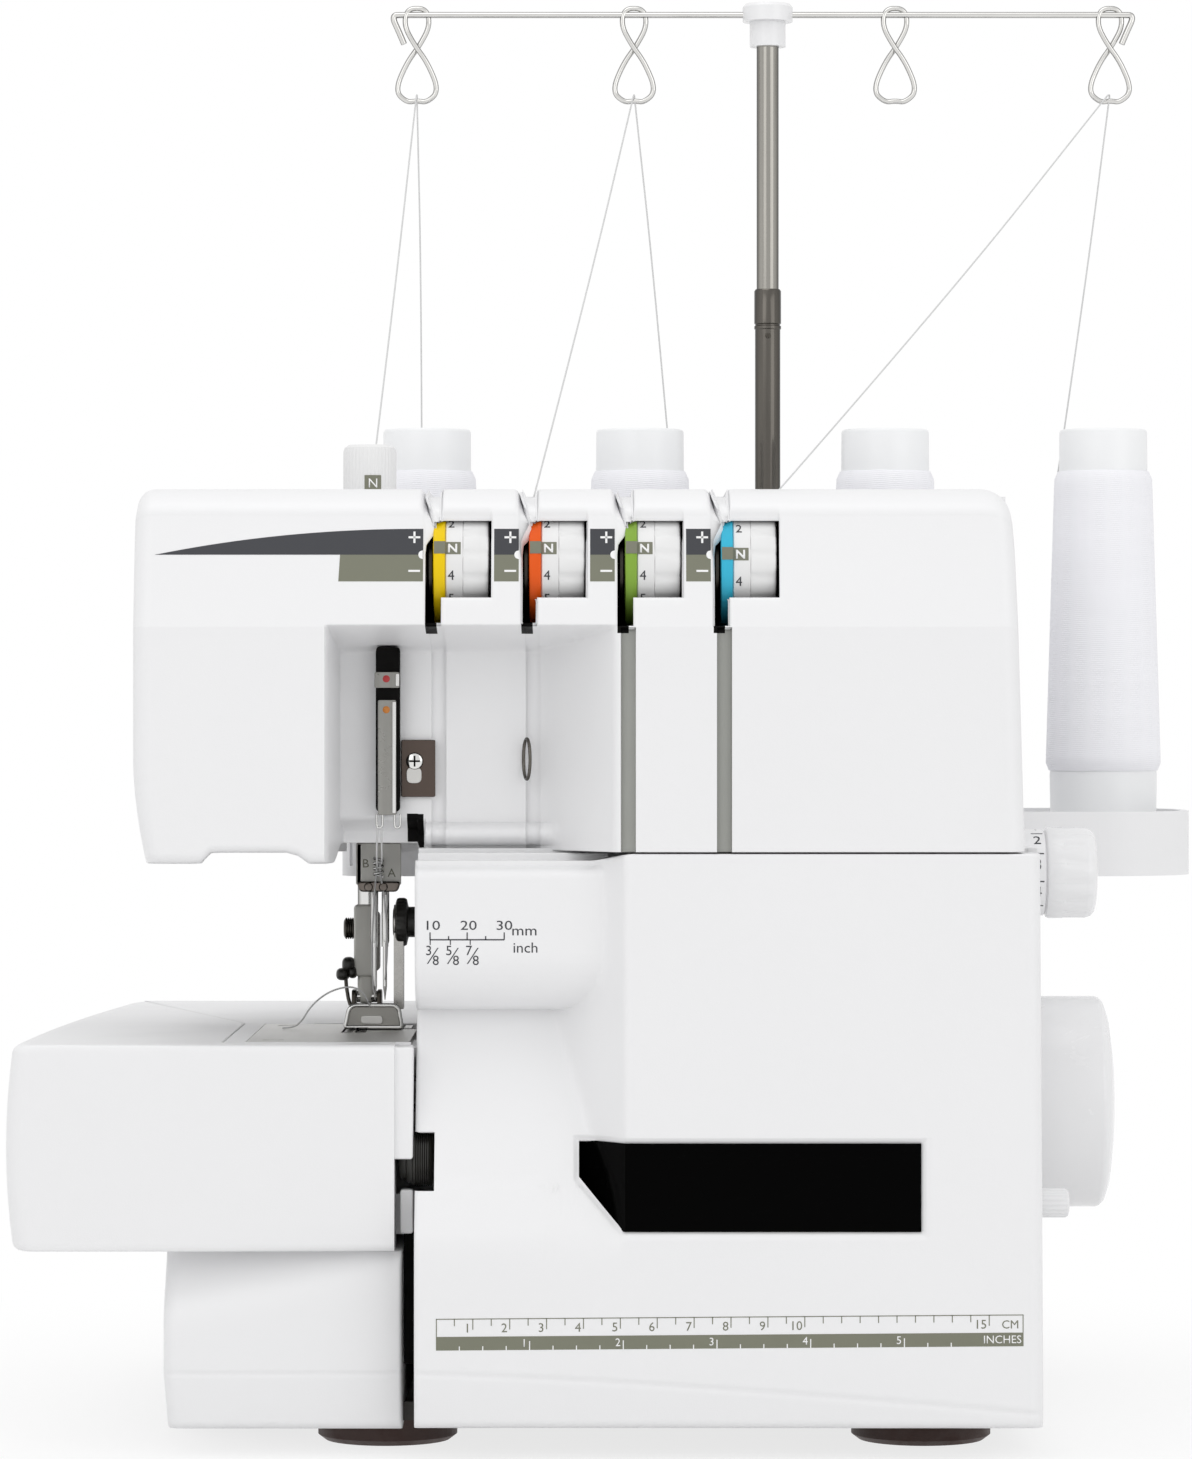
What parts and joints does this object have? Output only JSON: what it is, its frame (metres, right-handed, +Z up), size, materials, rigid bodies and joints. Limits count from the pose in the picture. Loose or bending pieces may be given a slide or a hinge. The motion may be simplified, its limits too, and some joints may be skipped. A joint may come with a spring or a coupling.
{
  "type": "serger overlock machine",
  "caption": "Overlock sewing machine with thread cones on a telescopic stand, tension dials, loopers and knives behind a folding cover, and a sliding extension table.",
  "frame": {"origin": "on the table surface under the middle of the machine's box", "axes": "+X to the handwheel's side, +Y away from the operator, +Z up"},
  "size_m": [0.342, 0.264, 0.425],
  "materials": {
    "belt_rubber": "matt",
    "black_plastic": "satin",
    "black_rubber": "matt",
    "blue_ring": "gloss",
    "cast_metal": "cast",
    "chrome": "polished",
    "cone_plastic": "slightly glossy",
    "dark_pan": "matt",
    "green_ring": "gloss",
    "orange_ring": "gloss",
    "smoked_window": "deep gloss",
    "steel": "ground",
    "thread_white": "wound thread",
    "white_dial": "satin with ribs",
    "white_gloss": "smooth moulded gloss",
    "white_plastic": "fine moulded satin",
    "yellow_ring": "gloss"
  },
  "bodies": {
    "frame": {"base_pan": "dark_pan", "rubber_feet": "black_rubber", "lower_left_cover": "white_plastic", "rear_casing": "white_plastic", "right_side_cover": "white_plastic", "upper_front_cover": "white_plastic", "head_rear_cover": "white_plastic", "free_arm": "white_plastic", "stitch_plate": "steel", "spool_tray": "white_plastic", "spool_pins": "white_gloss", "thread_cones": "cone_plastic", "thread_windings": "thread_white", "mast_lower_tube": "chrome", "take_up_cover": "chrome", "thread_guides": "chrome", "tension_bracket": "black_plastic", "tension_discs": "chrome", "frame_casting": "cast_metal", "drive_motor": "steel", "drive_belt": "belt_rubber", "power_inlet": "black_plastic", "thread_cord_1": "thread_white", "thread_cord_2": "thread_white", "thread_cord_4": "thread_white"},
    "drive_shaft": {"handwheel": "white_gloss", "main_shaft": "steel"},
    "motor_rotor": {"motor_pulley": "steel"},
    "needle_bar": {"needle_bar": "chrome", "needle_clamp": "steel", "needles": "chrome"},
    "upper_looper": {"upper_looper": "chrome"},
    "lower_looper": {"lower_looper": "chrome"},
    "feed_dogs": {"feed_dogs": "steel"},
    "presser_bar": {"presser_bar": "chrome", "presser_ankle": "steel"},
    "presser_foot": {"presser_foot": "steel"},
    "foot_lifter": {"foot_lifter": "black_plastic"},
    "pressure_dial": {"pressure_dial": "white_dial"},
    "tension_dial_1": {"tension_dial_1": "white_dial", "tension_ring_1": "yellow_ring"},
    "tension_dial_2": {"tension_dial_2": "white_dial", "tension_ring_2": "orange_ring"},
    "tension_dial_3": {"tension_dial_3": "white_dial", "tension_ring_3": "green_ring"},
    "tension_dial_4": {"tension_dial_4": "white_dial", "tension_ring_4": "blue_ring"},
    "stitch_length_dial": {"stitch_length_dial": "white_dial"},
    "differential_knob": {"differential_knob": "white_dial"},
    "cutting_width_dial": {"cutting_width_dial": "black_plastic"},
    "upper_knife": {"upper_knife": "steel", "knife_knob": "black_plastic"},
    "cover_carrier": {"cover_hinge_rod": "steel"},
    "front_cover": {"front_cover": "white_plastic", "cover_window": "smoked_window"},
    "extension_table": {"extension_table": "white_plastic"},
    "mast_upper": {"mast_upper_tube": "chrome", "mast_cap": "white_plastic", "thread_guide_bar": "chrome"},
    "power_switch": {"power_switch": "black_plastic"}
  },
  "joints": [
    {"name": "handwheel_turn", "type": "hinge", "parent": "frame", "child": "drive_shaft", "pos_m": [0, -0.012, 0.0898], "axis": [1, 0, 0], "continuous": true},
    {"name": "motor_turn", "type": "hinge", "parent": "frame", "child": "motor_rotor", "pos_m": [0, 0.075, 0.048], "axis": [1, 0, 0], "continuous": true},
    {"name": "needle_bar_stroke", "type": "slide", "parent": "frame", "child": "needle_bar", "axis": [0, 0, 1], "range_m": [-0.022, 0.004]},
    {"name": "upper_looper_swing", "type": "hinge", "parent": "frame", "child": "upper_looper", "pos_m": [-0.035, -0.046, 0.062], "axis": [0, 1, 0], "range_deg": [-11.5, 2.5]},
    {"name": "lower_looper_swing", "type": "hinge", "parent": "frame", "child": "lower_looper", "pos_m": [-0.018, -0.057, 0.048], "axis": [0, 1, 0], "range_deg": [-2.5, 11.5]},
    {"name": "feed_dog_travel", "type": "slide", "parent": "frame", "child": "feed_dogs", "axis": [0, 1, 0], "range_m": [-0.0024, 0.0006]},
    {"name": "presser_lift", "type": "slide", "parent": "frame", "child": "presser_bar", "axis": [0, 0, 1], "range_m": [0, 0.006]},
    {"name": "presser_foot_tilt", "type": "hinge", "parent": "presser_bar", "child": "presser_foot", "pos_m": [-0.076, -0.022, 0.121], "axis": [1, 0, 0], "range_deg": [-8, 0]},
    {"name": "foot_lifter_swing", "type": "hinge", "parent": "frame", "child": "foot_lifter", "pos_m": [-0.076, 0, 0.18], "axis": [1, 0, 0], "range_deg": [0, 30.5]},
    {"name": "pressure_dial_turn", "type": "hinge", "parent": "frame", "child": "pressure_dial", "pos_m": [-0.0738, -0.062, 0.27], "axis": [0, 0, 1], "range_deg": [-150, 150]},
    {"name": "tension_dial_1_turn", "type": "hinge", "parent": "frame", "child": "tension_dial_1", "pos_m": [-0.0539, -0.1114, 0.2435], "axis": [1, 0, 0], "range_deg": [-135, 135]},
    {"name": "tension_dial_2_turn", "type": "hinge", "parent": "frame", "child": "tension_dial_2", "pos_m": [-0.0278, -0.1114, 0.2435], "axis": [1, 0, 0], "range_deg": [-135, 135]},
    {"name": "tension_dial_3_turn", "type": "hinge", "parent": "frame", "child": "tension_dial_3", "pos_m": [-0.0017, -0.1114, 0.2435], "axis": [1, 0, 0], "range_deg": [-135, 135]},
    {"name": "tension_dial_4_turn", "type": "hinge", "parent": "frame", "child": "tension_dial_4", "pos_m": [0.0244, -0.1114, 0.2435], "axis": [1, 0, 0], "range_deg": [-135, 135]},
    {"name": "stitch_length_turn", "type": "hinge", "parent": "frame", "child": "stitch_length_dial", "pos_m": [0.12, -0.072, 0.1584], "axis": [1, 0, 0], "range_deg": [-135, 135]},
    {"name": "differential_turn", "type": "hinge", "parent": "frame", "child": "differential_knob", "pos_m": [0.118, -0.092, 0.067], "axis": [1, 0, 0], "range_deg": [-60, 60]},
    {"name": "cutting_width_turn", "type": "hinge", "parent": "frame", "child": "cutting_width_dial", "pos_m": [-0.06, -0.113, 0.081], "axis": [1, 0, 0], "range_deg": [-170, 170]},
    {"name": "upper_knife_fold", "type": "hinge", "parent": "frame", "child": "upper_knife", "pos_m": [-0.067, -0.032, 0.143], "axis": [1, 0, 0], "range_deg": [0, 90]},
    {"name": "cover_slide", "type": "slide", "parent": "frame", "child": "cover_carrier", "axis": [1, 0, 0], "range_m": [0, 0.012]},
    {"name": "cover_open", "type": "hinge", "parent": "cover_carrier", "child": "front_cover", "pos_m": [0, -0.124, 0.016], "axis": [1, 0, 0], "range_deg": [0, 90]},
    {"name": "table_slide", "type": "slide", "parent": "frame", "child": "extension_table", "axis": [-1, 0, 0], "range_m": [0, 0.11]},
    {"name": "mast_lower", "type": "slide", "parent": "frame", "child": "mast_upper", "axis": [0, 0, 1], "range_m": [-0.074, 0], "deforming": ["thread_cord_1", "thread_cord_2", "thread_cord_4"]},
    {"name": "switch_rock", "type": "hinge", "parent": "frame", "child": "power_switch", "pos_m": [0.1085, 0.081, 0.033], "axis": [0, 0, 1], "range_deg": [-6, 6]}
  ],
  "couplings": [
    {"joint": "motor_turn", "follows": "handwheel_turn", "ratio": 2.75},
    {"joint": "upper_looper_swing", "follows": "needle_bar_stroke", "rad_per_m": 8.7266},
    {"joint": "lower_looper_swing", "follows": "needle_bar_stroke", "rad_per_m": -8.7266},
    {"joint": "feed_dog_travel", "follows": "needle_bar_stroke", "ratio": 0.1},
    {"joint": "foot_lifter_swing", "follows": "presser_lift", "rad_per_m": 87.266}
  ]
}
